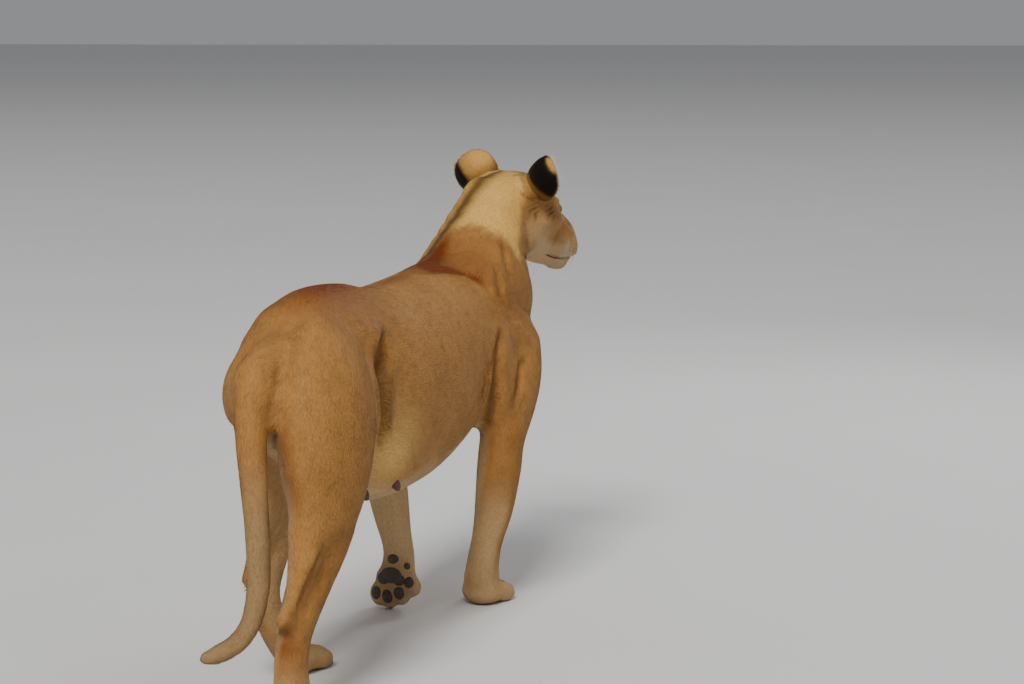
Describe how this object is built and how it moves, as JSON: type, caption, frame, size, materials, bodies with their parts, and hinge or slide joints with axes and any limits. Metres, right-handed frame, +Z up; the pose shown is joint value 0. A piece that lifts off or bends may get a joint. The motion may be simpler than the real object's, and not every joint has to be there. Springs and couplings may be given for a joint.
{
  "type": "lioness",
  "caption": "Life-size still model of a lioness in mid stride, head raised and turned to her right, one forepaw lifting.",
  "frame": {"origin": "middle of the bounding box's footprint, on the floor under the paws", "axes": "+Z up, -Y the way she walks, +X to her left"},
  "size_m": [0.392, 1.5286, 1.086],
  "materials": {
    "coat_tan": "short tawny fur, matte",
    "coat_pale": "short pale fur, matte",
    "coat_dark": "dark fur of the ears and the tail tip, matte",
    "eyeball": "amber, polished"
  },
  "bodies": {
    "root": {"ear_left": "coat_dark", "ear_right": "coat_dark", "eye_left": "eyeball", "eye_right": "eyeball", "foreleg_left_lower": "coat_tan", "foreleg_left_paw": "coat_pale", "foreleg_left_upper": "coat_tan", "foreleg_right_lower": "coat_tan", "foreleg_right_paw": "coat_pale", "foreleg_right_upper": "coat_tan", "head": "coat_tan", "hindleg_left_lower": "coat_tan", "hindleg_left_paw": "coat_pale", "hindleg_left_upper": "coat_tan", "hindleg_right_lower": "coat_tan", "hindleg_right_paw": "coat_pale", "hindleg_right_upper": "coat_tan", "neck": "coat_tan", "tail_middle": "coat_tan", "tail_tip": "coat_dark", "tail_upper": "coat_tan", "trunk": "coat_tan"}
  },
  "joints": []
}
